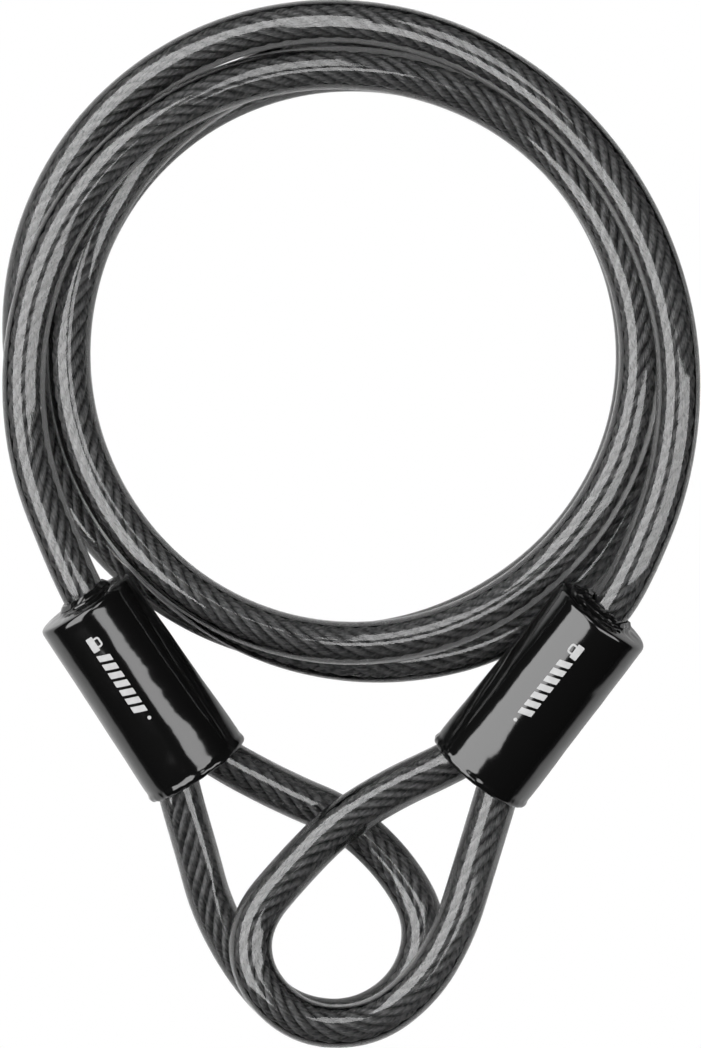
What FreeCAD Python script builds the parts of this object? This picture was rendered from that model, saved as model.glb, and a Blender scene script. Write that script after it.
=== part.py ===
import FreeCAD, Part

import math
import os

import Sketcher
from FreeCAD import Vector

# A looped security cable: one steel wire rope in a tinted jacket. Both ends are folded
# back into an eye, crimped in a ferrule and hidden under a moulded cover. The long run
# between the two covers lies in a loose coil.
#
# Units are millimetres. The origin is the middle of the lying object, on the surface it
# rests on. +X is to the right, +Y runs from the eyes towards the coil, +Z is up.

# ---------------------------------------------------------------- driving dimensions

DIMENSIONS = (
    ("jacket_diameter", 10.0),
    ("rope_diameter", 5.0),
    ("core_diameter", 1.7),
    ("cover_length", 47.5),
    ("cover_mouth_diameter", 25.8),
    ("cover_end_diameter", 24.0),
    ("cover_wall", 1.5),
    ("cover_end_wall", 2.4),
    ("cover_mouth_round", 0.7),
    ("cover_end_round", 1.6),
    ("rope_spacing", 6.2),
    ("leg_spacing", 13.6),
    ("ferrule_start", 11.0),
    ("ferrule_length", 16.0),
    ("ferrule_wall", 2.4),
    ("ferrule_chamfer", 0.6),
    ("tail_end", 34.0),
    ("boot_start", 24.5),
    ("boot_end", 48.6),
    ("boot_height", 12.6),
    ("boot_clearance", 0.3),
    ("boot_round", 0.8),
    ("left_boot_width", 14.4),
    ("left_boot_offset", 0.3),
    ("right_boot_width", 16.2),
    ("right_boot_offset", 1.7),
)

# Where each cover lies: the middle of its open mouth and of its closed end.
COVER_ENDS = {
    "left": (Vector(-34.9, -56.9, 13.3), Vector(-61.0, -18.0, 20.3)),
    "right": (Vector(29.3, -57.3, 17.5), Vector(58.3, -20.1, 27.5)),
}

# The direction, seen from above, in which the folded-back tail lies beside the rope.
TAIL_SIDE = {"left": 1.0, "right": -1.0}

# ---------------------------------------------------------------- the cable's route

COIL_CENTRE = (0.35, 39.9)
COIL_STEP = 20.0
COIL_START = -108.0
COIL_POINTS = 66

# The coil is wound clockwise from the left cover. Each row is one turn, and each entry
# is the winding angle, the radius of the cable's centre line and its height. Turns lie
# on and beside each other, so the radius and the height change all the way round.
COIL_TURNS = (
    ((-120, 79.3, 21.3), (-100, 76.1, 21.6), (-80, 73.4, 23.2), (-60, 70.9, 24.8),
     (-40, 68.4, 25.9), (-20, 65.9, 26.0), (0, 64.1, 24.0), (20, 64.0, 22.4),
     (40, 64.4, 21.4), (60, 64.9, 21.1), (80, 65.8, 22.0), (100, 66.5, 22.3),
     (120, 66.5, 21.9), (140, 66.7, 21.3), (160, 67.4, 22.0), (180, 67.3, 24.8),
     (200, 67.0, 25.9), (220, 66.3, 26.1), (240, 65.4, 25.1)),
    ((260, 65.1, 22.3), (280, 64.8, 17.2), (300, 65.0, 15.5), (320, 65.8, 15.5),
     (340, 66.7, 15.4), (360, 69.0, 14.6), (380, 70.3, 14.0), (400, 71.2, 13.4),
     (420, 71.8, 13.1), (440, 71.8, 13.2), (460, 72.0, 13.4), (480, 73.1, 13.2),
     (500, 74.2, 12.4), (510, 74.4, 12.1), (520, 73.6, 13.0), (540, 71.0, 15.3),
     (560, 69.2, 15.5), (580, 67.0, 15.6), (600, 66.0, 14.8)),
    ((620, 65.7, 12.0), (640, 65.4, 6.2), (660, 65.4, 5.0), (720, 65.0, 5.0),
     (780, 65.4, 5.0), (820, 66.1, 5.0), (840, 66.3, 5.0), (860, 66.1, 5.0),
     (880, 66.3, 5.0), (900, 67.9, 5.0), (920, 69.0, 5.0), (940, 70.5, 5.0),
     (960, 72.1, 5.0)),
    ((980, 74.8, 5.6), (1000, 76.6, 8.0), (1020, 77.9, 11.5), (1040, 78.0, 15.5),
     (1060, 77.0, 19.5), (1080, 75.1, 23.2), (1100, 73.1, 27.6), (1120, 71.4, 29.3),
     (1140, 71.3, 29.5), (1160, 72.6, 29.5), (1180, 75.4, 28.8), (1200, 79.0, 28.8)),
)

# The two eyes, each from its outer leg round to its inner leg.
LEFT_EYE = (
    (-35.5, -75.5, 9.8), (-32.0, -89.0, 6.4), (-24.0, -103.5, 5.0), (-14.5, -113.5, 5.0),
    (1.0, -115.5, 5.0), (14.0, -107.0, 5.0), (18.0, -92.5, 5.0), (11.0, -79.5, 5.0),
    (-1.0, -68.0, 5.0), (-14.0, -62.5, 8.0),
)
RIGHT_EYE = (
    (28.0, -80.5, 15.8), (24.0, -93.5, 15.5), (16.5, -106.5, 15.5), (4.5, -115.5, 15.5),
    (-11.0, -115.5, 15.5), (-22.5, -105.0, 15.5), (-23.5, -91.5, 15.5),
    (-12.5, -78.5, 15.5), (-2.5, -68.5, 15.6), (9.5, -61.0, 16.0),
)

# Corners of the route inside a cover: distance above the mouth, and sideways distance
# from the cover's axis, towards the tail.
LEG_CORNER = -2.5
CRIMP_CORNER = 7.0
CRIMP_TOP = 32.0
LEFT_LEAD = ((45.0, 0.4), (57.0, 1.9))
RIGHT_LEAD = ((45.0, -0.3), (57.0, 0.0))

ARC_SHARE = 0.45
VOLUME_TOLERANCE = 0.01
SAME_PLACE = 1e-4
FLAT = 1e-6


def make_sheet(doc):
    """The driving dimensions as spreadsheet cells with aliases."""
    sheet = doc.addObject("Spreadsheet::Sheet", "sizes")
    for row, (name, value) in enumerate(DIMENSIONS, start=1):
        sheet.set(f"A{row}", name)
        sheet.set(f"B{row}", str(value))
        sheet.setAlias(f"B{row}", name)
    doc.recompute()
    return sheet


class CoverFrame:
    """Places given along and across one cover."""

    def __init__(self, side):
        mouth, end = COVER_ENDS[side]
        self.mouth = mouth
        self.axis = (end - mouth).normalize()
        across = Vector(self.axis.y, -self.axis.x, 0).normalize()
        self.across = across * TAIL_SIDE[side]
        self.third = self.axis.cross(self.across)

    def at(self, along, sideways):
        return self.mouth + self.axis * along + self.across * sideways

    def placement(self):
        turn = FreeCAD.Rotation(self.across, self.third, self.axis, "ZXY")
        return FreeCAD.Placement(self.mouth, turn)


# ---------------------------------------------------------------- points of the route

def between(stations, angle):
    """Radius and height at a winding angle, between the two nearest stations."""
    for low, high in zip(stations, stations[1:]):
        if low[0] <= angle <= high[0]:
            share = (angle - low[0]) / (high[0] - low[0])
            radius = low[1] + share * (high[1] - low[1])
            height = low[2] + share * (high[2] - low[2])
            return radius, height
    raise ValueError(f"no station at {angle}")


def coil_points():
    """Corners of the coil. The arcs pass inside them, so they stand a little further out."""
    stations = [station for turn in COIL_TURNS for station in turn]
    grow = 1 / math.cos(math.radians(COIL_STEP / 2))
    points = []
    for count in range(COIL_POINTS):
        angle = COIL_START + count * COIL_STEP
        radius, height = between(stations, angle)
        turn = math.radians(angle)
        x = COIL_CENTRE[0] + radius * grow * math.sin(turn)
        y = COIL_CENTRE[1] + radius * grow * math.cos(turn)
        points.append(Vector(x, y, height))
    return points


def route_points(sheet, left, right):
    """Every corner of the rope, from the left tail's cut end to the right tail's."""
    crimp = sheet.rope_spacing / 2
    leg = sheet.leg_spacing / 2
    left_tail = [left.at(sheet.tail_end, crimp), left.at(CRIMP_CORNER, crimp)]
    left_tail.append(left.at(LEG_CORNER, leg))
    left_eye = [Vector(*point) for point in reversed(LEFT_EYE)]
    left_rope = [left.at(LEG_CORNER, -leg), left.at(CRIMP_CORNER, -crimp)]
    left_rope.append(left.at(CRIMP_TOP, -crimp))
    left_lead = [left.at(*place) for place in LEFT_LEAD]
    right_lead = [right.at(*place) for place in reversed(RIGHT_LEAD)]
    right_rope = [right.at(CRIMP_TOP, -crimp), right.at(CRIMP_CORNER, -crimp)]
    right_rope.append(right.at(LEG_CORNER, -leg))
    right_eye = [Vector(*point) for point in RIGHT_EYE]
    right_tail = [right.at(LEG_CORNER, leg), right.at(CRIMP_CORNER, crimp)]
    right_tail.append(right.at(sheet.tail_end, crimp))
    parts = (left_tail, left_eye, left_rope, left_lead, coil_points(),
             right_lead, right_rope, right_eye, right_tail)
    points = [point for part in parts for point in part]
    eye_end = len(left_tail) + len(left_eye)
    coil_start = eye_end + len(left_rope)
    coil_end = len(points) - len(right_tail) - len(right_eye) - len(right_rope) - 1
    spans = {
        "left_eye_jacket": (1, eye_end),
        "main_jacket": (coil_start - 1, coil_end),
        "right_eye_jacket": (coil_end + 2, len(points) - 3),
    }
    return points, spans


def halfway(one, other):
    return (one + other) * 0.5


def span_points(points, first, last):
    """Corners from the middle of one run to the middle of another."""
    inner = points[first + 1:last + 1]
    return [halfway(points[first], points[first + 1])] + inner + [
        halfway(points[last], points[last + 1])]


def rounded_path(points):
    """Straight runs joined by tangent arcs, each as large as its two runs allow."""
    edges = []
    radii = []
    start = points[0]
    last = len(points) - 2
    for index in range(1, len(points) - 1):
        before, corner, after = points[index - 1:index + 2]
        back = before - corner
        ahead = after - corner
        # A path starts and ends straight, so its first and last runs may be used twice
        # as far as an inner run, which leaves half its length for the next arc.
        back_length = back.Length * (2 if index == 1 else 1)
        ahead_length = ahead.Length * (2 if index == last else 1)
        reach = ARC_SHARE * min(back_length, ahead_length)
        turn = math.pi - back.getAngle(ahead)
        radius = reach / math.tan(turn / 2)
        back.normalize()
        ahead.normalize()
        enter = corner + back * reach
        leave = corner + ahead * reach
        inward = (back + ahead).normalize()
        middle = corner + inward * (radius / math.cos(turn / 2) - radius)
        edges.append(Part.LineSegment(start, enter).toShape())
        edges.append(Part.Arc(enter, middle, leave).toShape())
        radii.append(radius)
        start = leave
    edges.append(Part.LineSegment(start, points[-1]).toShape())
    return Part.Wire(edges), radii


def disc(centre, direction, diameter):
    circle = Part.Circle(centre, direction, diameter / 2)
    return Part.Wire([circle.toShape()])


def swept(points, outer, bore):
    """A round rod, or a tube when there is a bore, along the rounded path."""
    path, radii = rounded_path(points)
    direction = points[1] - points[0]
    section = Part.Face(disc(points[0], direction, outer))
    if bore:
        section = section.cut(Part.Face(disc(points[0], direction, bore))).Faces[0]
    solid = path.makePipe(section)
    expected = math.pi / 4 * (outer ** 2 - bore ** 2) * path.Length
    return solid, path.Length, expected, radii


def add_swept(doc, label, points, outer, bore):
    solid, length, expected, radii = swept(points, outer, bore)
    print(f"{label}: length {length:.1f}, radii {min(radii):.1f} to {max(radii):.1f}")
    if abs(solid.Volume - expected) > VOLUME_TOLERANCE * expected:
        raise ValueError(f"{label}: volume {solid.Volume:.0f}, expected {expected:.0f}")
    piece = doc.addObject("Part::Feature", label)
    piece.Shape = solid
    piece.Placement = FreeCAD.Placement()
    return piece


# ---------------------------------------------------------------- covers

def origin_plane(body, role):
    for feature in body.Origin.OriginFeatures:
        if feature.Role == role:
            return feature
    raise ValueError(role)


def add_sketch(doc, body, name, role):
    sketch = body.newObject("Sketcher::SketchObject", name)
    sketch.AttachmentSupport = [(origin_plane(body, role), "")]
    sketch.MapMode = "FlatFace"
    return sketch


def closed_outline(sketch, corners):
    """Lines through the corners, each joined to the next."""
    count = len(corners)
    for index in range(count):
        start = Vector(*corners[index], 0)
        end = Vector(*corners[(index + 1) % count], 0)
        sketch.addGeometry(Part.LineSegment(start, end), False)
    for index in range(count):
        joint = Sketcher.Constraint("Coincident", index, 2, (index + 1) % count, 1)
        sketch.addConstraint(joint)


def place_corner(sketch, index, across, along):
    """Bind the start of a line to two expressions, measured from the origin."""
    for kind, formula in (("DistanceX", across), ("DistanceY", along)):
        point = sketch.Geometry[index].StartPoint
        value = point.x if kind == "DistanceX" else point.y
        number = sketch.addConstraint(Sketcher.Constraint(kind, -1, 1, index, 1, value))
        sketch.setExpression(f"Constraints[{number}]", formula)


def slot_outline(sketch, half_width, radius, centre):
    """A slot with round ends: two arcs joined by two lines."""
    reach = half_width - radius
    left = Vector(centre - reach, 0, 0)
    right = Vector(centre + reach, 0, 0)
    up = Vector(0, radius, 0)
    quarter = math.pi / 2
    normal = Vector(0, 0, 1)
    sketch.addGeometry(Part.LineSegment(left + up, right + up), False)
    arc = Part.Circle(right, normal, radius)
    sketch.addGeometry(Part.ArcOfCircle(arc, -quarter, quarter), False)
    sketch.addGeometry(Part.LineSegment(right - up, left - up), False)
    arc = Part.Circle(left, normal, radius)
    sketch.addGeometry(Part.ArcOfCircle(arc, quarter, 3 * quarter), False)
    joints = ((0, 2, 1, 2), (1, 1, 2, 1), (2, 2, 3, 2), (3, 1, 0, 1))
    for first, first_end, second, second_end in joints:
        sketch.addConstraint(
            Sketcher.Constraint("Tangent", first, first_end, second, second_end))
    sketch.addConstraint(Sketcher.Constraint("Horizontal", 0))
    sketch.addConstraint(Sketcher.Constraint("PointOnObject", 1, 3, -1))


def bind_slot(sketch, width, height, centre):
    """Bind a slot's two round ends to expressions."""
    radius = sketch.Geometry[1].Radius
    number = sketch.addConstraint(Sketcher.Constraint("Radius", 1, radius))
    sketch.setExpression(f"Constraints[{number}]", f"({height}) / 2")
    ends = ((1, "+"), (3, "-"))
    for arc, sign in ends:
        place = sketch.Geometry[arc].Center.x
        number = sketch.addConstraint(
            Sketcher.Constraint("DistanceX", -1, 1, arc, 3, place))
        formula = f"({centre}) {sign} (({width}) - ({height})) / 2"
        sketch.setExpression(f"Constraints[{number}]", formula)


def round_edges(body, base, name, edges, formula):
    fillet = body.newObject("PartDesign::Fillet", name)
    fillet.Base = (base, edges)
    fillet.setExpression("Radius", formula)
    return fillet


def ring_edges(shape, along, radius):
    """Names of the circular edges of one radius at one distance along the axis."""
    names = []
    for number, edge in enumerate(shape.Edges, start=1):
        if not isinstance(edge.Curve, Part.Circle):
            continue
        same_place = abs(edge.Curve.Center.z - along) < SAME_PLACE
        if same_place and abs(edge.Curve.Radius - radius) < SAME_PLACE:
            names.append(f"Edge{number}")
    return names


def make_cover(doc, sheet, side, frame):
    """A tapered cap, open at the mouth, with a slot in its end for the cable's boot."""
    body = doc.addObject("PartDesign::Body", f"{side}_cover")
    profile = add_sketch(doc, body, f"{side}_cover_profile", "XZ_Plane")
    length = sheet.cover_length
    mouth = sheet.cover_mouth_diameter / 2
    end = sheet.cover_end_diameter / 2
    wall = sheet.cover_wall
    floor = length - sheet.cover_end_wall
    corners = ((mouth - wall, 0), (mouth, 0), (end, length),
               (0, length), (0, floor), (end - wall, floor))
    closed_outline(profile, corners)
    formulas = (
        ("sizes.cover_mouth_diameter / 2 - sizes.cover_wall", "0"),
        ("sizes.cover_mouth_diameter / 2", "0"),
        ("sizes.cover_end_diameter / 2", "sizes.cover_length"),
        ("0", "sizes.cover_length"),
        ("0", "sizes.cover_length - sizes.cover_end_wall"),
        ("sizes.cover_end_diameter / 2 - sizes.cover_wall",
         "sizes.cover_length - sizes.cover_end_wall"),
    )
    for index, (across, along) in enumerate(formulas):
        place_corner(profile, index, across, along)
    turned = body.newObject("PartDesign::Revolution", f"{side}_cover_shell")
    turned.Profile = profile
    turned.ReferenceAxis = (profile, ["V_Axis"])
    turned.Angle = 360
    doc.recompute()
    mouth_edges = ring_edges(turned.Shape, 0, mouth) + ring_edges(turned.Shape, 0, mouth - wall)
    soft_mouth = round_edges(body, turned, f"{side}_cover_lip", mouth_edges,
                             "sizes.cover_mouth_round")
    doc.recompute()
    end_edges = ring_edges(soft_mouth.Shape, length, end)
    round_edges(body, soft_mouth, f"{side}_cover_shoulder", end_edges,
                "sizes.cover_end_round")
    slot = add_sketch(doc, body, f"{side}_cover_slot", "XY_Plane")
    gap = 2 * sheet.boot_clearance
    height = sheet.boot_height + gap
    width = sheet.get(f"{side}_boot_width") + gap
    slot_outline(slot, width / 2, height / 2, sheet.get(f"{side}_boot_offset"))
    bind_slot(slot, f"sizes.{side}_boot_width + 2 * sizes.boot_clearance",
              "sizes.boot_height + 2 * sizes.boot_clearance",
              f"sizes.{side}_boot_offset")
    hole = body.newObject("PartDesign::Pocket", f"{side}_cover_hole")
    hole.Profile = slot
    hole.Type = "ThroughAll"
    hole.Reversed = True
    doc.recompute()
    body.Tip = hole
    body.Placement = frame.placement()
    return body


# ---------------------------------------------------------------- ferrules and boots

def make_ferrule(doc, sheet, side, frame):
    """An oval sleeve pressed round the rope and its folded-back tail."""
    body = doc.addObject("PartDesign::Body", f"{side}_ferrule")
    outline = add_sketch(doc, body, f"{side}_ferrule_outline", "XY_Plane")
    height = sheet.rope_diameter + 2 * sheet.ferrule_wall
    width = height + sheet.rope_spacing
    slot_outline(outline, width / 2, height / 2, 0)
    tall = "sizes.rope_diameter + 2 * sizes.ferrule_wall"
    bind_slot(outline, f"{tall} + sizes.rope_spacing", tall, "0")
    outline.AttachmentOffset = FreeCAD.Placement(
        Vector(0, 0, sheet.ferrule_start), FreeCAD.Rotation())
    outline.setExpression("AttachmentOffset.Base.z", "sizes.ferrule_start")
    bar = body.newObject("PartDesign::Pad", f"{side}_ferrule_bar")
    bar.Profile = outline
    bar.setExpression("Length", "sizes.ferrule_length")
    doc.recompute()
    bores = add_sketch(doc, body, f"{side}_ferrule_bores", "XY_Plane")
    for number, sign in enumerate((1, -1)):
        centre = Vector(sign * sheet.rope_spacing / 2, 0, 0)
        circle = Part.Circle(centre, Vector(0, 0, 1), sheet.rope_diameter / 2)
        bores.addGeometry(circle, False)
        bores.addConstraint(Sketcher.Constraint("PointOnObject", number, 3, -1))
        spot = bores.addConstraint(
            Sketcher.Constraint("DistanceX", -1, 1, number, 3, centre.x))
        bores.setExpression(f"Constraints[{spot}]", f"{sign} * sizes.rope_spacing / 2")
        size = bores.addConstraint(
            Sketcher.Constraint("Radius", number, sheet.rope_diameter / 2))
        bores.setExpression(f"Constraints[{size}]", "sizes.rope_diameter / 2")
    drilled = body.newObject("PartDesign::Pocket", f"{side}_ferrule_drilled")
    drilled.Profile = bores
    drilled.Type = "ThroughAll"
    drilled.Reversed = True
    doc.recompute()
    rims = []
    for number, edge in enumerate(drilled.Shape.Edges, start=1):
        flat = edge.BoundBox.ZLength < FLAT
        if flat and not bore_edge(edge, sheet.rope_diameter / 2):
            rims.append(f"Edge{number}")
    chamfer = body.newObject("PartDesign::Chamfer", f"{side}_ferrule_rims")
    chamfer.Base = (drilled, rims)
    chamfer.setExpression("Size", "sizes.ferrule_chamfer")
    doc.recompute()
    body.Tip = chamfer
    body.Placement = frame.placement()
    return body


def bore_edge(edge, radius):
    is_circle = isinstance(edge.Curve, Part.Circle)
    return is_circle and abs(edge.Curve.Radius - radius) < SAME_PLACE


def slot_prism(width, height, centre, start, end):
    """A bar with a slot-shaped section, in the cover's own frame."""
    radius = height / 2
    reach = (width - height) / 2
    left = Vector(centre - reach, 0, start)
    right = Vector(centre + reach, 0, start)
    up = Vector(0, radius, 0)
    out = Vector(radius, 0, 0)
    edges = [
        Part.LineSegment(left + up, right + up).toShape(),
        Part.Arc(right + up, right + out, right - up).toShape(),
        Part.LineSegment(right - up, left - up).toShape(),
        Part.Arc(left - up, left - out, left + up).toShape(),
    ]
    return Part.Face(Part.Wire(edges)).extrude(Vector(0, 0, end - start))


def make_boot(doc, sheet, side, frame, ferrule, points, jacket_cut):
    """A moulded plug round the ferrule's end, the cut tail and the start of the jacket."""
    width = sheet.get(f"{side}_boot_width")
    blank = slot_prism(width, sheet.boot_height, sheet.get(f"{side}_boot_offset"),
                       sheet.boot_start, sheet.boot_end)
    top = [edge for edge in blank.Edges
           if edge.BoundBox.ZMin > sheet.boot_end - FLAT]
    blank = blank.makeFillet(sheet.boot_round, top)
    blank.Placement = frame.placement()
    rope = swept(points, sheet.rope_diameter, 0)[0]
    jacket = swept(jacket_cut, sheet.jacket_diameter, 0)[0]
    tail = Part.makeCylinder(sheet.rope_diameter / 2, sheet.tail_end,
                             frame.at(0, sheet.rope_spacing / 2), frame.axis)
    solid = blank
    for inside in (ferrule.Shape, tail, rope, jacket):
        solid = solid.cut(inside)
    solid = max(solid.Solids, key=lambda one: one.Volume)
    piece = doc.addObject("Part::Feature", f"{side}_boot")
    piece.Shape = solid
    return piece


# ---------------------------------------------------------------- the whole object

def check(doc, pieces):
    for thing in doc.Objects:
        if "Invalid" in thing.State or "Error" in thing.State:
            raise ValueError(f"{thing.Label} failed: {thing.State}")
    for piece in pieces:
        if piece.Shape.isNull() or not piece.Shape.isValid():
            raise ValueError(f"{piece.Label} has no valid shape")


def main():
    doc = FreeCAD.newDocument("looped_cable")
    sheet = make_sheet(doc)
    left = CoverFrame("left")
    right = CoverFrame("right")
    points, spans = route_points(sheet, left, right)
    pieces = [
        add_swept(doc, "rope_core", points, sheet.core_diameter, 0),
        add_swept(doc, "rope_strands", points, sheet.rope_diameter, sheet.core_diameter),
    ]
    for label, (first, last) in spans.items():
        stretch = span_points(points, first, last)
        pieces.append(add_swept(doc, label, stretch, sheet.jacket_diameter,
                                sheet.rope_diameter))
    # The few corners of the rope and of the jacket that pass through each boot.
    first, last = spans["main_jacket"]
    leads = {
        "left": (points[first - 1:first + 4], span_points(points, first, first + 2)),
        "right": (points[last - 2:last + 3], span_points(points, last - 2, last)),
    }
    for side, frame in (("left", left), ("right", right)):
        cover = make_cover(doc, sheet, side, frame)
        ferrule = make_ferrule(doc, sheet, side, frame)
        rope, jacket = leads[side]
        boot = make_boot(doc, sheet, side, frame, ferrule, rope, jacket)
        pieces += [cover, ferrule, boot]
    doc.recompute()
    check(doc, pieces)
    os.makedirs("parts", exist_ok=True)
    for piece in pieces:
        piece.Shape.exportStep(f"parts/{piece.Label}.step")
        print(f"{piece.Label}: {piece.Shape.Volume:.0f} mm3")


main()
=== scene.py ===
import math

import bpy
import numpy as np
from mathutils import Matrix, Vector


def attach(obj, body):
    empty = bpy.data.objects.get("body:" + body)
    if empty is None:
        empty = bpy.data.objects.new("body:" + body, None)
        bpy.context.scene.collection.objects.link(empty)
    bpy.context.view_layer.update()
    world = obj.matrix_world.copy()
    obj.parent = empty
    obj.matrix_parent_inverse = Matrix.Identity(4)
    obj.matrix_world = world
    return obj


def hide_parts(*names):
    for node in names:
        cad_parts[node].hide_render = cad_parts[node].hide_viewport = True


# A looped security cable: a steel wire rope in a smoke-tinted jacket, with an eye at each
# end under a black moulded cover. Metres, in the frame of the CAD parts.

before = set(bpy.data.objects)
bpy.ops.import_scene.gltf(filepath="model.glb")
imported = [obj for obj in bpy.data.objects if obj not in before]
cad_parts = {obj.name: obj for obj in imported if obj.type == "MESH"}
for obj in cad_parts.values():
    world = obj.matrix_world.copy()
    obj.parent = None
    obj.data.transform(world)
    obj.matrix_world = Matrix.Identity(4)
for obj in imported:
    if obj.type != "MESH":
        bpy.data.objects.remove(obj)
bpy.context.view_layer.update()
bpy.ops.object.select_all(action="DESELECT")
scene = bpy.context.scene

MM = 0.001
JACKET_DIAMETER = 10 * MM
ROPE_DIAMETER = 5 * MM

# ---------------------------------------------------------------- camera

CAMERA_HEIGHT = 2.0
SENSOR_WIDTH = 36
LENS = 296.5  # a long lens, from straight above

camera_data = bpy.data.cameras.new("camera")
camera_data.sensor_width = SENSOR_WIDTH
camera_data.lens = LENS
camera = bpy.data.objects.new("camera", camera_data)
camera.location = (0, 0, CAMERA_HEIGHT)
scene.collection.objects.link(camera)
scene.camera = camera

# ---------------------------------------------------------------- the cable's route

# Where each cover lies, in millimetres: the middle of its mouth and of its closed end.
COVER_ENDS = {
    "left": (Vector((-34.9, -56.9, 13.3)), Vector((-61.0, -18.0, 20.3))),
    "right": (Vector((29.3, -57.3, 17.5)), Vector((58.3, -20.1, 27.5))),
}
TAIL_SIDE = {"left": 1, "right": -1}

COIL_CENTRE = (0.35, 39.9)
COIL_START = -108
COIL_STEP = 20
COIL_POINTS = 66

# Winding angle, radius and height of the coil's turns, which lie on and beside each other.
COIL_TURNS = (
    (-120, 79.3, 21.3), (-100, 76.1, 21.6), (-80, 73.4, 23.2), (-60, 70.9, 24.8),
    (-40, 68.4, 25.9), (-20, 65.9, 26.0), (0, 64.1, 24.0), (20, 64.0, 22.4),
    (40, 64.4, 21.4), (60, 64.9, 21.1), (80, 65.8, 22.0), (100, 66.5, 22.3),
    (120, 66.5, 21.9), (140, 66.7, 21.3), (160, 67.4, 22.0), (180, 67.3, 24.8),
    (200, 67.0, 25.9), (220, 66.3, 26.1), (240, 65.4, 25.1), (260, 65.1, 22.3),
    (280, 64.8, 17.2), (300, 65.0, 15.5), (320, 65.8, 15.5), (340, 66.7, 15.4),
    (360, 69.0, 14.6), (380, 70.3, 14.0), (400, 71.2, 13.4), (420, 71.8, 13.1),
    (440, 71.8, 13.2), (460, 72.0, 13.4), (480, 73.1, 13.2), (500, 74.2, 12.4),
    (510, 74.4, 12.1), (520, 73.6, 13.0), (540, 71.0, 15.3), (560, 69.2, 15.5),
    (580, 67.0, 15.6), (600, 66.0, 14.8), (620, 65.7, 12.0), (640, 65.4, 6.2),
    (660, 65.4, 5.0), (720, 65.0, 5.0), (780, 65.4, 5.0), (820, 66.1, 5.0),
    (840, 66.3, 5.0), (860, 66.1, 5.0), (880, 66.3, 5.0), (900, 67.9, 5.0),
    (920, 69.0, 5.0), (940, 70.5, 5.0), (960, 72.1, 5.0), (980, 74.8, 5.6),
    (1000, 76.6, 8.0), (1020, 77.9, 11.5), (1040, 78.0, 15.5), (1060, 77.0, 19.5),
    (1080, 75.1, 23.2), (1100, 73.1, 27.6), (1120, 71.4, 29.3), (1140, 71.3, 29.5),
    (1160, 72.6, 29.5), (1180, 75.4, 28.8), (1200, 79.0, 28.8),
)

# The two eyes, each from its outer leg round to its inner leg.
LEFT_EYE = (
    (-35.5, -75.5, 9.8), (-32.0, -89.0, 6.4), (-24.0, -103.5, 5.0), (-14.5, -113.5, 5.0),
    (1.0, -115.5, 5.0), (14.0, -107.0, 5.0), (18.0, -92.5, 5.0), (11.0, -79.5, 5.0),
    (-1.0, -68.0, 5.0), (-14.0, -62.5, 8.0),
)
RIGHT_EYE = (
    (28.0, -80.5, 15.8), (24.0, -93.5, 15.5), (16.5, -106.5, 15.5), (4.5, -115.5, 15.5),
    (-11.0, -115.5, 15.5), (-22.5, -105.0, 15.5), (-23.5, -91.5, 15.5),
    (-12.5, -78.5, 15.5), (-2.5, -68.5, 15.6), (9.5, -61.0, 16.0),
)


class CoverFrame:
    """Places given along a cover's axis and sideways from it, towards the tail."""

    def __init__(self, side):
        self.mouth, self.end = COVER_ENDS[side]
        self.tail_sign = -TAIL_SIDE[side]  # the tail's side along the piece's own x
        self.axis = (self.end - self.mouth).normalized()
        self.aside = Vector((-self.axis.y, self.axis.x, 0)).normalized()
        self.across = self.aside * self.tail_sign
        self.up = self.axis.cross(self.aside)

    def at(self, along, sideways):
        return self.mouth + self.axis * along + self.across * sideways

    def placement(self):
        """Carries a piece made round +Z, in metres, into the cover's place."""
        columns = (self.aside, self.up, self.axis, self.mouth * MM)
        rows = [[column[row] for column in columns] for row in range(3)]
        return Matrix(rows + [[0, 0, 0, 1]])


def coil_points():
    angles = [station[0] for station in COIL_TURNS]
    radii = [station[1] for station in COIL_TURNS]
    heights = [station[2] for station in COIL_TURNS]
    grow = 1 / math.cos(math.radians(COIL_STEP / 2))
    points = []
    for count in range(COIL_POINTS):
        angle = COIL_START + count * COIL_STEP
        radius = float(np.interp(angle, angles, radii)) * grow
        height = float(np.interp(angle, angles, heights))
        turn = math.radians(angle)
        points.append(Vector((COIL_CENTRE[0] + radius * math.sin(turn),
                              COIL_CENTRE[1] + radius * math.cos(turn), height)))
    return points


left = CoverFrame("left")
right = CoverFrame("right")
left_tail = [left.at(34, 3.1), left.at(7, 3.1), left.at(-2.5, 6.8)]
left_rope = [left.at(-2.5, -6.8), left.at(7, -3.1), left.at(32, -3.1)]
left_lead = [left.at(45, 0.4), left.at(57, 1.9)]
right_lead = [right.at(57, 0.0), right.at(45, -0.3)]
right_rope = [right.at(32, -3.1), right.at(7, -3.1), right.at(-2.5, -6.8)]
right_tail = [right.at(-2.5, 6.8), right.at(7, 3.1), right.at(34, 3.1)]
left_eye = [Vector(point) for point in reversed(LEFT_EYE)]
right_eye = [Vector(point) for point in RIGHT_EYE]
coil = coil_points()
route = (left_tail + left_eye + left_rope + left_lead + coil
         + right_lead + right_rope + right_eye + right_tail)


def between(one, other):
    return (one + other) / 2


left_eye_route = ([between(left_tail[1], left_tail[2]), left_tail[2]] + left_eye
                  + [left_rope[0], between(left_rope[0], left_rope[1])])
main_route = ([between(left_rope[2], left_lead[0])] + left_lead + coil + right_lead
              + [between(right_lead[-1], right_rope[0])])
right_eye_route = ([between(right_rope[1], right_rope[2]), right_rope[2]] + right_eye
                   + [right_tail[0], between(right_tail[0], right_tail[1])])


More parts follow.
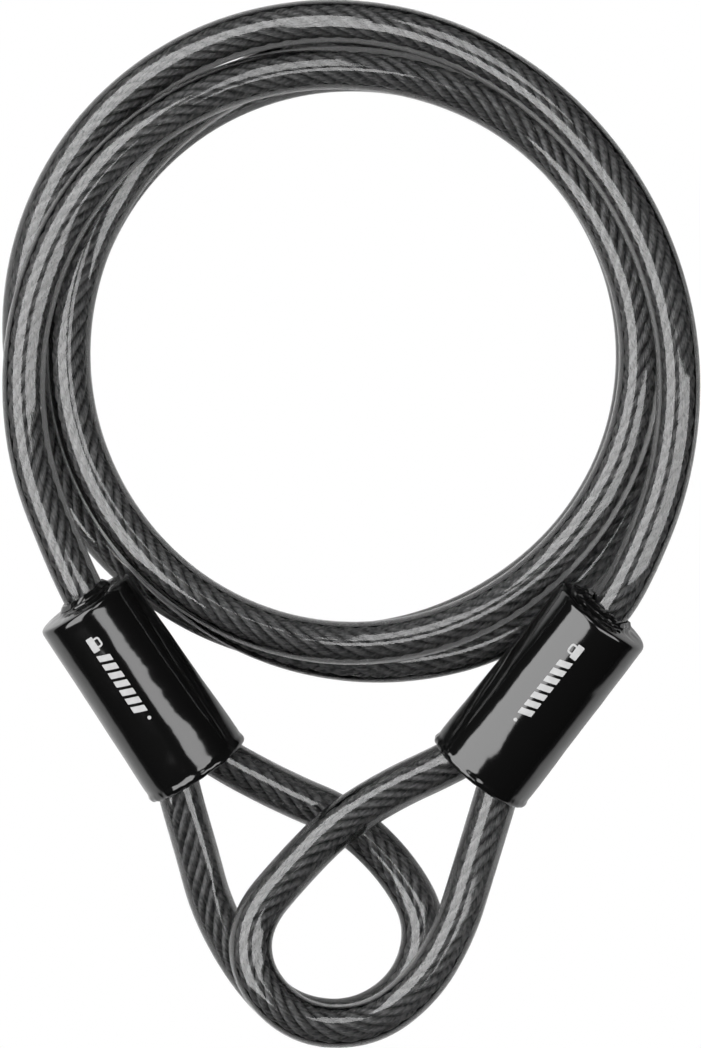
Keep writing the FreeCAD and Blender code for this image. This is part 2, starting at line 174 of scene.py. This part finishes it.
def route_curve(name, points, radius=0.0, steps=12):
    """A smooth curve on the route's points, round when it has a radius."""
    data = bpy.data.curves.new(name, "CURVE")
    data.dimensions = "3D"
    data.resolution_u = steps
    spline = data.splines.new("NURBS")
    spline.points.add(len(points) - 1)
    for control, point in zip(spline.points, points):
        control.co = (*(point * MM), 1)
        control.radius = radius
    spline.order_u = 3
    spline.use_endpoint_u = True
    data.bevel_depth = 1.0 if radius else 0.0
    data.bevel_resolution = 9
    data.use_fill_caps = radius > 0
    curve = bpy.data.objects.new(name, data)
    scene.collection.objects.link(curve)
    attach(curve, "root")
    return curve


def jacket(name, points):
    tube = route_curve(name, points, JACKET_DIAMETER / 2)
    return tube


main_jacket = jacket("main_run", main_route)
left_eye_jacket = jacket("left_eye", left_eye_route)
right_eye_jacket = jacket("right_eye", right_eye_route)
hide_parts("main_jacket")
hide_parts("left_eye_jacket")
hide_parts("right_eye_jacket")

# ---------------------------------------------------------------- the wire rope

STRANDS = 6
STRAND_RADIUS = ROPE_DIAMETER / 6
STRAND_LAY = 26 * MM
WIRES = 12
WIRE_TURN = -560  # radians a metre: the wires turn back and lie nearly along the rope
RING_STEP = 0.9 * MM
HEART_RADIUS = 0.85 * MM
SAME_POINT = 1e-7


def centre_line(points):
    """Points of the route's smooth curve, with a sideways and an upward direction."""
    bare = route_curve("bare_route", points, steps=16)
    mesh = bpy.data.meshes.new_from_object(bare)
    line = np.array([vertex.co for vertex in mesh.vertices])
    bpy.data.objects.remove(bare)
    bpy.data.meshes.remove(mesh)
    gaps = np.linalg.norm(np.diff(line, axis=0), axis=1)
    line = line[np.append(True, gaps > SAME_POINT)]
    reach = np.append(0, np.cumsum(np.linalg.norm(np.diff(line, axis=0), axis=1)))
    stations = np.linspace(0, reach[-1], int(reach[-1] / RING_STEP) + 1)
    even = np.column_stack([np.interp(stations, reach, line[:, axis]) for axis in range(3)])
    tangents = np.gradient(even, axis=0)
    tangents /= np.linalg.norm(tangents, axis=1)[:, None]
    side = np.cross(tangents[0], (0, 0, 1))
    side /= np.linalg.norm(side)
    sides = np.empty_like(even)
    for index, tangent in enumerate(tangents):
        side = side - tangent * np.dot(side, tangent)
        side /= np.linalg.norm(side)
        sides[index] = side
    return stations, even, sides, np.cross(tangents, sides)


def wire_outline():
    """Angles and radii of a strand's section: one lobe for each outer wire."""
    lobe = math.pi / WIRES
    wire = STRAND_RADIUS * math.sin(lobe) / (1 + math.sin(lobe))
    middle = STRAND_RADIUS - wire
    angles = np.arange(4 * WIRES) * lobe / 2
    off = (angles + lobe) % (2 * lobe) - lobe
    inside = np.clip(wire ** 2 - (middle * np.sin(off)) ** 2, 0, None)
    return angles, middle * np.cos(off) + np.sqrt(inside)


def strand(name, first, last, phase):
    """One strand of the rope between two stations, with its wires as lobes."""
    along = stations[first:last, None]
    turn = along * 2 * math.pi / STRAND_LAY + phase
    lift = ROPE_DIAMETER / 2 - STRAND_RADIUS
    angles, radii = wire_outline()
    spin = along * WIRE_TURN + angles[None, :] + phase
    x = lift * np.cos(turn) + radii * np.cos(spin)
    y = lift * np.sin(turn) + radii * np.sin(spin)
    places = (line[first:last, None, :] + x[..., None] * sides[first:last, None, :]
              + y[..., None] * ups[first:last, None, :])
    rings, around = x.shape
    ring = np.arange(rings - 1)[:, None] * around
    here = np.arange(around)[None, :]
    there = (here + 1) % around
    faces = np.stack([ring + here, ring + there, ring + around + there,
                      ring + around + here], axis=-1).reshape(-1, 4)
    mesh = bpy.data.meshes.new(name)
    caps = [list(range(around))[::-1], [(rings - 1) * around + i for i in range(around)]]
    mesh.from_pydata(places.reshape(-1, 3).tolist(), [], faces.tolist() + caps)
    mesh.shade_smooth()
    along_wire = mesh.uv_layers.new(name="wires")
    corners = np.empty(len(mesh.loops), int)
    mesh.loops.foreach_get("vertex_index", corners)
    column = corners % around
    # The last column of faces closes the ring, so its far corners count on instead of
    # starting again at the first wire.
    sides_of_ring = len(faces) * 4
    wrap = np.zeros(len(corners), bool)
    wrap[:sides_of_ring] = (column[:sides_of_ring] == 0) & np.repeat(
        np.tile(np.arange(around) == around - 1, rings - 1), 4)
    wires = (column + np.where(wrap, around, 0)) / 4 + 0.5
    reach = stations[first + corners // around] + phase
    along_wire.data.foreach_set("uv", np.column_stack([wires, reach * 1000]).ravel())
    piece = bpy.data.objects.new(name, mesh)
    scene.collection.objects.link(piece)
    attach(piece, "root")
    return piece


stations, line, sides, ups = centre_line(route)
last_station = len(stations)
EYE_SHARE = 0.24  # metres of rope at each end that are drawn as pieces of their own
cut = int(EYE_SHARE / RING_STEP)
stretches = {
    "left_eye": (0, cut + 1),
    "main_run": (cut, last_station - cut),
    "right_eye": (last_station - cut - 1, last_station),
}
strands = []
for stretch, (first, last) in stretches.items():
    for number in range(STRANDS):
        phase = number * 2 * math.pi / STRANDS
        strands.append(strand(f"{stretch}_strand_{number + 1}", first, last, phase))
rope_core = route_curve("rope_heart", route, HEART_RADIUS)
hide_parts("rope_core")
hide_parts("rope_strands")

# ---------------------------------------------------------------- covers and collars

COVER_SIDES = 144
COLLAR_SIDES = 40
MOUTH_RADIUS = 12.9
SIDE_START = 3.2
SIDE_END = 45.2
SIDE_STEP = 0.7
FACE_RADIUS = 10.2
FACE_PLACE = 47.6
OUTER_SKIN = 11.5  # everything further from the axis than this is a cover's outside
SKIN_BLEND = 0.4
COVER_TAPER = 0.9 / 47.5  # a cover gets this much thinner for each millimetre of its length

# A cover's section in millimetres: radius, distance from the mouth and sideways place. It runs
# from the floor inside, round the mouth's rolled lip, up the side and over the shoulder.
COVER_INSIDE = ((9.8, 45.1, 0), (10.8, 44.2, 0), (11.2, 3.0, 0), (11.1, 1.4, 0), (11.4, 0.5, 0))
COVER_LIP = ((12.0, 0.05, 0), (12.6, 0.2, 0), (13.0, 0.7, 0), (13.05, 1.3, 0), (12.85, 1.9, 0),
             (12.8, 2.4, 0))
COVER_SHOULDER = ((12.05, 45.8, 0), (12.0, 46.6, 0), (11.8, 47.1, 0), (11.45, 47.4, 0),
                  (10.9, 47.52, 0), (10.2, 47.6, 0))
COVER_HOLE = {"left": (6.5, 0.6), "right": (8.1, 1.3)}  # radius, and distance towards the tail

# Places where a cover's side stands out or is pressed in: distance from the mouth, distance
# round the side towards the tail, reach and height, in millimetres.
SIDE_MARKS = {
    "left": ((9.0, 2.4, 3.0, -0.10), (15.0, 5.0, 6.0, 0.06), (26.0, -1.0, 6.5, -0.05),
             (42.0, -0.5, 4.0, -0.10), (6.0, -4.0, 1.8, 0.08), (30.0, -8.0, 5.0, 0.10)),
    "right": ((8.0, 1.0, 4.0, -0.12), (21.0, 4.0, 6.0, 0.07), (34.0, -8.5, 2.0, 0.16),
              (14.0, -5.0, 6.0, 0.07), (40.0, 1.0, 5.0, -0.06), (30.0, 2.5, 5.0, -0.06)),
}


def turned_shell(name, rings, sides):
    """A closed shell drawn out ring by ring: radius, height and sideways place, millimetres."""
    radius, height, shift = (size * MM for size in rings[0])
    bpy.ops.object.select_all(action="DESELECT")
    bpy.ops.mesh.primitive_circle_add(vertices=sides, radius=radius, location=(0, 0, 0))
    shell = bpy.context.object
    shell.name = shell.data.name = name
    bpy.ops.object.mode_set(mode="EDIT")
    bpy.ops.mesh.select_all(action="SELECT")
    bpy.ops.transform.translate(value=(shift, 0, height))
    for ring in rings[1:] + rings[:1]:
        wider, further, aside = (size * MM for size in ring)
        step = (aside - shift, 0, further - height)
        bpy.ops.mesh.extrude_region_move(TRANSFORM_OT_translate={"value": step})
        bpy.ops.transform.resize(value=(wider / radius, wider / radius, 1),
                                 center_override=(aside, 0, further))
        radius, height, shift = wider, further, aside
    bpy.ops.mesh.select_all(action="SELECT")
    bpy.ops.mesh.remove_doubles(threshold=1e-6)
    bpy.ops.mesh.normals_make_consistent(inside=False)
    bpy.ops.object.mode_set(mode="OBJECT")
    return shell


def rumple(piece, name, size, depth, weights=None):
    """Uneven skin: the surface moved in and out by soft noise, where the weights are high."""
    clouds = bpy.data.textures.new(name, "CLOUDS")
    clouds.noise_scale = size * MM
    push = piece.modifiers.new(name, "DISPLACE")
    push.texture = clouds
    push.texture_coords = "LOCAL"
    push.strength = depth * MM
    if weights is not None:
        group = piece.vertex_groups.new(name=name)
        for index, weight in enumerate(weights):
            group.add([index], float(weight), "REPLACE")
        push.vertex_group = name
    bpy.context.view_layer.objects.active = piece
    bpy.ops.object.modifier_apply(modifier=name)
    bpy.data.textures.remove(clouds)
    piece.vertex_groups.clear()


def corners_of(piece):
    corners = np.empty(len(piece.data.vertices) * 3)
    piece.data.vertices.foreach_get("co", corners)
    return corners.reshape(-1, 3)


def settle(piece, cover):
    """Set a piece made round +Z at the origin into its cover's place."""
    piece.data.transform(cover.placement())
    piece.data.shade_smooth()
    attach(piece, "root")


def make_cover(side, cover):
    """A dip-moulded cap: rolled lip at its mouth, soft shoulder and a hole for the cable."""
    hole, aside = COVER_HOLE[side]
    aside *= cover.tail_sign
    body = tuple((MOUTH_RADIUS - COVER_TAPER * along, along, 0)
                 for along in np.arange(SIDE_START, SIDE_END, SIDE_STEP))
    face = tuple((FACE_RADIUS + (hole - FACE_RADIUS) * share, FACE_PLACE + lift, aside * share)
                 for share, lift in ((0.35, 0.1), (0.7, 0.12), (0.9, 0.3), (0.97, 0.7),
                                     (1.0, 0.9)))
    throat = ((hole - 0.7, 48.5, aside), (hole - 0.8, 47.6, aside), (hole - 0.3, 45.3, aside))
    rings = list(COVER_INSIDE + COVER_LIP + body + COVER_SHOULDER + face + throat)
    shell = turned_shell(f"{side}_cover_skin", rings, COVER_SIDES)
    places = corners_of(shell)
    along = places[:, 2] / MM
    out = np.hypot(places[:, 0], places[:, 1]) / MM
    outward = places[:, :2] / np.hypot(places[:, 0], places[:, 1])[:, None]
    around = np.arctan2(places[:, 0], places[:, 1]) * out * cover.tail_sign
    outside = np.clip((out - OUTER_SKIN) / SKIN_BLEND, 0, 1)
    for high, wide, reach, lift in SIDE_MARKS[side]:
        far = np.hypot((along - high) / 1.6, around - wide) / reach
        places[:, :2] += outward * (lift * MM * np.exp(-far ** 2 * 2) * outside)[:, None]
    shell.data.vertices.foreach_set("co", places.ravel())
    rumple(shell, "slack", 14, 0.26, outside)
    rumple(shell, "crinkle", 1.5, 0.5, np.clip((3.4 - along) / 2.6, 0, 1) * (out > OUTER_SKIN))
    rumple(shell, "throat", 3.0, 0.7, np.clip((along - 47.0) / 0.8, 0, 1) * (out < 9.9))
    finer = shell.modifiers.new("finer", "SUBSURF")
    finer.levels = 1
    bpy.ops.object.modifier_apply(modifier="finer")
    settle(shell, cover)
    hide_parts(f"{side}_cover")
    return shell


# A collar's section, in a boot's own frame: how far from the jacket to the hole's edge
# (0 to 1) and distance from the cover's mouth.
COLLAR_SECTION = ((0.0, 46.5), (0.02, 48.9), (0.2, 49.6), (0.5, 49.5), (0.75, 49.0), (0.95, 48.6),
                  (0.9, 47.0), (0.5, 46.2))
JACKET_AT_COLLAR = {"left": 0.9, "right": -0.25}


def make_collar(side, cover, crumple):
    """The soft black filling squeezed out of the hole round the jacket."""
    hole, aside = COVER_HOLE[side]
    start = JACKET_AT_COLLAR[side]
    rings = [(4.7 + (hole - 4.6) * share, along,
              (start + (aside - start) * share) * cover.tail_sign)
             for share, along in COLLAR_SECTION]
    collar = turned_shell(f"{side}_collar", rings, COLLAR_SIDES)
    along = corners_of(collar)[:, 2] / MM
    rumple(collar, "squeezed", 2.4, crumple, np.clip((along - 46.8) / 1.4, 0, 1))
    settle(collar, cover)
    collar.data.shade_flat()
    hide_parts(f"{side}_boot")
    return collar


# The printed mark's pieces: start, end, foot and top in millimetres, the rounding of their
# corners, the width of an open frame (0 when solid) and how far the top leans over.
MARK_HEIGHT = 3.2
MARK_PIECES = [(0.0, 3.7, 0.0, 1.8, 0.25, 0.0, 0.0), (0.6, 3.1, 1.3, MARK_HEIGHT, 0.7, 0.45, 0.0)]
MARK_PIECES += [(5.0 + 2.35 * bar, 6.6 + 2.35 * bar, 0.0, MARK_HEIGHT, 0.15, 0.0, 1.1)
                for bar in range(7)]
MARK_PIECES += [(22.4, 23.3, 2.1, 3.0, 0.45, 0.0, 0.0)]
MARK_LIFT = 0.8  # how far off the side the pieces are rolled before they are pressed on
INK_THICKNESS = 0.05 * MM
MARK_PLACE = {"left": (41.6, -4.7), "right": (41.0, -1.2)}  # its start, and its foot round the side


def mark_plate(piece, high, low, cover):
    """One flat piece of the mark, cut out and rolled round the cover just off its side."""
    near, far, bottom, top, rounding, frame_width, slant = piece
    bpy.ops.mesh.primitive_plane_add(size=MM, location=(0, 0, 0))
    plate = bpy.context.object
    bpy.ops.object.mode_set(mode="EDIT")
    bpy.ops.mesh.select_all(action="SELECT")
    bpy.ops.transform.resize(value=(far - near, top - bottom, 1), center_override=(0, 0, 0))
    bpy.ops.mesh.bevel(offset=rounding * MM, affect="VERTICES", segments=5)
    if frame_width:
        bpy.ops.mesh.select_all(action="SELECT")
        bpy.ops.mesh.inset(thickness=frame_width * MM)
        bpy.ops.mesh.delete(type="FACE")
    bpy.ops.mesh.select_all(action="SELECT")
    bpy.ops.mesh.quads_convert_to_tris()
    bpy.ops.mesh.subdivide(number_cuts=3)
    bpy.ops.object.mode_set(mode="OBJECT")
    flat = corners_of(plate) / MM
    up = flat[:, 1] + (bottom + top) / 2
    down = high - flat[:, 0] - (near + far) / 2 - slant * (up / MARK_HEIGHT - 0.5)
    radius = MOUTH_RADIUS - COVER_TAPER * down + MARK_LIFT
    turn = (low + up) / MOUTH_RADIUS * cover.tail_sign
    places = np.column_stack([radius * np.sin(turn), radius * np.cos(turn), down]) * MM
    plate.data.vertices.foreach_set("co", places.ravel())
    return plate


def printed_mark(side, cover, shell):
    """A plain mark on the side: a padlock and a row of slanted bars."""
    plates = [mark_plate(piece, *MARK_PLACE[side], cover) for piece in MARK_PIECES]
    bpy.ops.object.select_all(action="DESELECT")
    for plate in plates:
        plate.select_set(True)
    bpy.context.view_layer.objects.active = plates[0]
    bpy.ops.object.join()
    mark = bpy.context.object
    mark.name = mark.data.name = f"{side}_mark"
    mark.data.transform(cover.placement())
    wrap = mark.modifiers.new("wrap", "SHRINKWRAP")
    wrap.target = shell
    wrap.wrap_method = "NEAREST_SURFACEPOINT"
    wrap.wrap_mode = "ABOVE_SURFACE"
    wrap.offset = INK_THICKNESS
    bpy.ops.object.modifier_apply(modifier="wrap")
    if cover.tail_sign < 0:
        mark.data.flip_normals()
    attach(mark, "root")
    return mark


left_cover = make_cover("left", left)
right_cover = make_cover("right", right)
collars = [make_collar("left", left, 0.5), make_collar("right", right, 1.8)]
marks = [printed_mark("left", left, left_cover), printed_mark("right", right, right_cover)]

# ---------------------------------------------------------------- materials


def linear(code):
    """An sRGB hex colour as linear red, green, blue and alpha."""
    channels = [int(code[place:place + 2], 16) / 255 for place in (1, 3, 5)]
    return [c / 12.92 if c <= 0.04045 else ((c + 0.055) / 1.055) ** 2.4
            for c in channels] + [1]


def add(tree, kind, settings=None, sockets=None):
    """One node, with its settings made and its sockets filled or linked."""
    made = tree.nodes.new(kind)
    for key, value in (settings or {}).items():
        setattr(made, key, value)
    for key, value in (sockets or {}).items():
        if isinstance(value, bpy.types.NodeSocket):
            tree.links.new(value, made.inputs[key])
        else:
            made.inputs[key].default_value = value
    return made


def new_material(name):
    material = bpy.data.materials.new(name)
    material.use_nodes = True
    material.node_tree.nodes.clear()
    return material, material.node_tree


def smoke_pvc():
    """Extruded soft PVC with a smoke tint: clear, glossy and a little uneven."""
    material, tree = new_material("smoke_tinted_pvc")
    place = add(tree, "ShaderNodeTexCoord").outputs["Object"]
    swell = add(tree, "ShaderNodeTexNoise", None, {"Vector": place, "Scale": 90.0,
                                                   "Detail": 2.0}).outputs["Fac"]
    bump = add(tree, "ShaderNodeBump", None, {"Strength": 0.25, "Distance": 0.0004,
                                              "Height": swell}).outputs["Normal"]
    shader = add(tree, "ShaderNodeBsdfPrincipled", None, {
        "Base Color": linear("#F2F2F2"), "Roughness": 0.06, "IOR": 1.53,
        "Transmission Weight": 1.0, "Normal": bump}).outputs["BSDF"]
    through = add(tree, "ShaderNodeBsdfTransparent").outputs["BSDF"]
    lamp = add(tree, "ShaderNodeLightPath").outputs["Is Shadow Ray"]
    surface = add(tree, "ShaderNodeMixShader", None,
                  {0: lamp, 1: shader, 2: through}).outputs[0]
    tint = add(tree, "ShaderNodeVolumeAbsorption", None,
               {"Color": linear("#808080"), "Density": 320.0}).outputs["Volume"]
    add(tree, "ShaderNodeOutputMaterial", None, {"Surface": surface, "Volume": tint})
    return material


def galvanised_wire():
    """Drawn zinc-coated steel wire: bright, with fine marks from drawing and stranding."""
    material, tree = new_material("galvanised_steel_wire")
    wires = add(tree, "ShaderNodeUVMap", {"uv_map": "wires"}).outputs["UV"]
    split = add(tree, "ShaderNodeSeparateXYZ", None, {"Vector": wires})
    number = add(tree, "ShaderNodeMath", {"operation": "FLOOR"}, {0: split.outputs["X"]}).outputs[0]
    # each wire's own shade, which drifts along it over a few millimetres
    drift = add(tree, "ShaderNodeMath", {"operation": "MULTIPLY"}, {
        0: split.outputs["Y"], 1: 0.11}).outputs[0]
    beside = add(tree, "ShaderNodeMath", {"operation": "MULTIPLY"}, {0: number, 1: 0.4}).outputs[0]
    spot = add(tree, "ShaderNodeCombineXYZ", None, {"X": beside, "Y": drift})
    shade = add(tree, "ShaderNodeTexNoise", {"noise_dimensions": "2D"}, {
        "Vector": spot.outputs[0], "Scale": 3.7, "Detail": 2.0}).outputs["Fac"]
    rough = add(tree, "ShaderNodeMapRange", None, {
        "Value": shade, "From Min": 0.35, "From Max": 0.65, "To Min": 0.42,
        "To Max": 0.30}).outputs["Result"]
    worn = add(tree, "ShaderNodeMapRange", None, {"Value": shade, "From Min": 0.38,
                                                  "From Max": 0.62}).outputs["Result"]
    colour = add(tree, "ShaderNodeMix", {"data_type": "RGBA"}, {
        0: worn, 6: linear("#A8A9AA"), 7: linear("#FBFBFB")}).outputs[2]
    shader = add(tree, "ShaderNodeBsdfPrincipled", None, {
        "Base Color": colour, "Metallic": 1.0, "Roughness": rough}).outputs["BSDF"]
    add(tree, "ShaderNodeOutputMaterial", None, {"Surface": shader})
    return material


def black_vinyl():
    """Dip-moulded black PVC: deep black and glossy, with a soft unevenness."""
    material, tree = new_material("dipped_black_vinyl")
    place = add(tree, "ShaderNodeTexCoord").outputs["Object"]
    swell = add(tree, "ShaderNodeTexNoise", None, {"Vector": place, "Scale": 160.0,
                                                   "Detail": 2.0}).outputs["Fac"]
    bump = add(tree, "ShaderNodeBump", None, {"Strength": 0.2, "Distance": 0.0003,
                                              "Height": swell}).outputs["Normal"]
    shader = add(tree, "ShaderNodeBsdfPrincipled", None, {
        "Base Color": linear("#080808"), "Roughness": 0.10, "IOR": 1.53,
        "Normal": bump}).outputs["BSDF"]
    add(tree, "ShaderNodeOutputMaterial", None, {"Surface": shader})
    return material


def pressed_aluminium():
    """Aluminium sleeve squeezed in a die: pale and satin, with a fine grain."""
    material, tree = new_material("pressed_aluminium")
    place = add(tree, "ShaderNodeTexCoord").outputs["Object"]
    speck = add(tree, "ShaderNodeTexNoise", None, {"Vector": place, "Scale": 600.0,
                                                   "Detail": 4.0}).outputs["Fac"]
    rough = add(tree, "ShaderNodeMapRange", None, {"Value": speck, "To Min": 0.3,
                                                   "To Max": 0.5}).outputs["Result"]
    shader = add(tree, "ShaderNodeBsdfPrincipled", None, {
        "Base Color": linear("#C4C6C8"), "Metallic": 1.0, "Roughness": rough}).outputs["BSDF"]
    add(tree, "ShaderNodeOutputMaterial", None, {"Surface": shader})
    return material


def white_print():
    """Pad-printed white ink: flat and matt, a little thin."""
    material, tree = new_material("white_print")
    place = add(tree, "ShaderNodeTexCoord").outputs["Object"]
    speck = add(tree, "ShaderNodeTexNoise", None, {"Vector": place, "Scale": 900.0,
                                                   "Detail": 3.0}).outputs["Fac"]
    ink = add(tree, "ShaderNodeMix", {"data_type": "RGBA"}, {
        0: speck, 6: linear("#868686"), 7: linear("#A0A0A0")}).outputs[2]
    shader = add(tree, "ShaderNodeBsdfPrincipled", None, {
        "Base Color": ink, "Roughness": 0.5}).outputs["BSDF"]
    add(tree, "ShaderNodeOutputMaterial", None, {"Surface": shader})
    return material


pvc = smoke_pvc()
ink = white_print()
wire = galvanised_wire()
vinyl = black_vinyl()
aluminium = pressed_aluminium()

for piece in (main_jacket, left_eye_jacket, right_eye_jacket):
    piece.data.materials.append(pvc)
for piece in strands + [rope_core]:
    piece.data.materials.append(wire)
for piece in [left_cover, right_cover] + collars:
    piece.data.materials.append(vinyl)
for piece in marks:
    piece.data.materials.append(ink)
for name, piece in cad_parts.items():
    finish = aluminium if name.endswith("ferrule") else vinyl
    if piece.material_slots:
        piece.material_slots[0].material = finish
    else:
        piece.data.materials.append(finish)

# ---------------------------------------------------------------- stage and light

FLOOR_REACH = 3
FLOOR_HEIGHT = -0.0002
LIT_REACH = 0.14
DARK_REACH = 0.22

floor_mesh = bpy.data.meshes.new("floor")
floor_mesh.from_pydata([(x * FLOOR_REACH, y * FLOOR_REACH, FLOOR_HEIGHT)
                        for x, y in ((-1, -1), (1, -1), (1, 1), (-1, 1))], [], [(0, 1, 2, 3)])
floor = bpy.data.objects.new("floor", floor_mesh)
scene.collection.objects.link(floor)


def white_table():
    """A white table top lit by the lamps near the object; further out its colour darkens, painted
    shade standing for the dark room.
    """
    material, tree = new_material("white_table")
    place = add(tree, "ShaderNodeTexCoord").outputs["Object"]
    far = add(tree, "ShaderNodeVectorMath", {"operation": "LENGTH"}, {0: place}).outputs["Value"]
    # the diffuse colour fades from white to near black away from the object: painted shade for the
    # unlit room beyond the lamps
    paper_and_painted_dark = add(tree, "ShaderNodeMapRange", {"interpolation_type": "SMOOTHSTEP"}, {
        "Value": far, "From Min": LIT_REACH, "From Max": DARK_REACH, "To Min": 0.6,
        "To Max": 0.03}).outputs["Result"]
    matt = add(tree, "ShaderNodeBsdfDiffuse", None, {"Color": paper_and_painted_dark}).outputs[0]
    white = add(tree, "ShaderNodeEmission", None, {"Color": linear("#FFFFFF"),
                                                   "Strength": 1.0}).outputs[0]
    seen = add(tree, "ShaderNodeLightPath").outputs["Is Camera Ray"]
    both = add(tree, "ShaderNodeMixShader", None, {0: seen, 1: matt, 2: white}).outputs[0]
    add(tree, "ShaderNodeOutputMaterial", None, {"Surface": both})
    return material


floor.data.materials.append(white_table())


def softbox(name, place, tilt, width, height, brightness):
    """A rectangular lamp: mirrored in smooth surfaces, but not seen through the jacket."""
    data = bpy.data.lights.new(name, "AREA")
    data.shape = "RECTANGLE"
    data.size = width
    data.size_y = height
    data.energy = math.pi * width * height * brightness
    lamp = bpy.data.objects.new(name, data)
    scene.collection.objects.link(lamp)
    lamp.location = place
    lamp.rotation_euler = (0, math.radians(tilt), 0)
    lamp.visible_camera = False
    lamp.visible_transmission = False
    return lamp


softbox("left_softbox", (-0.475, 0.09, 0.70), -62.9, 0.79, 1.12, 6.3)
softbox("right_strip", (0.385, -0.13, 0.87), 66.0, 1.16, 0.34, 5.6)
softbox("back_strip", (0.0, 0.62, 1.0), 0.0, 0.32, 0.76, 5.0)

world = bpy.data.worlds.new("studio")
scene.world = world
world.use_nodes = True
world.node_tree.nodes.clear()
tree = world.node_tree
seen = add(tree, "ShaderNodeLightPath").outputs["Is Camera Ray"]
strength = add(tree, "ShaderNodeMapRange", None, {"Value": seen, "To Min": 0.02,
                                                  "To Max": 1.0}).outputs["Result"]
sky = add(tree, "ShaderNodeBackground", None, {"Color": linear("#FFFFFF"), "Strength": strength})
add(tree, "ShaderNodeOutputWorld", None, {"Surface": sky.outputs[0]})

scene.view_settings.view_transform = "Standard"
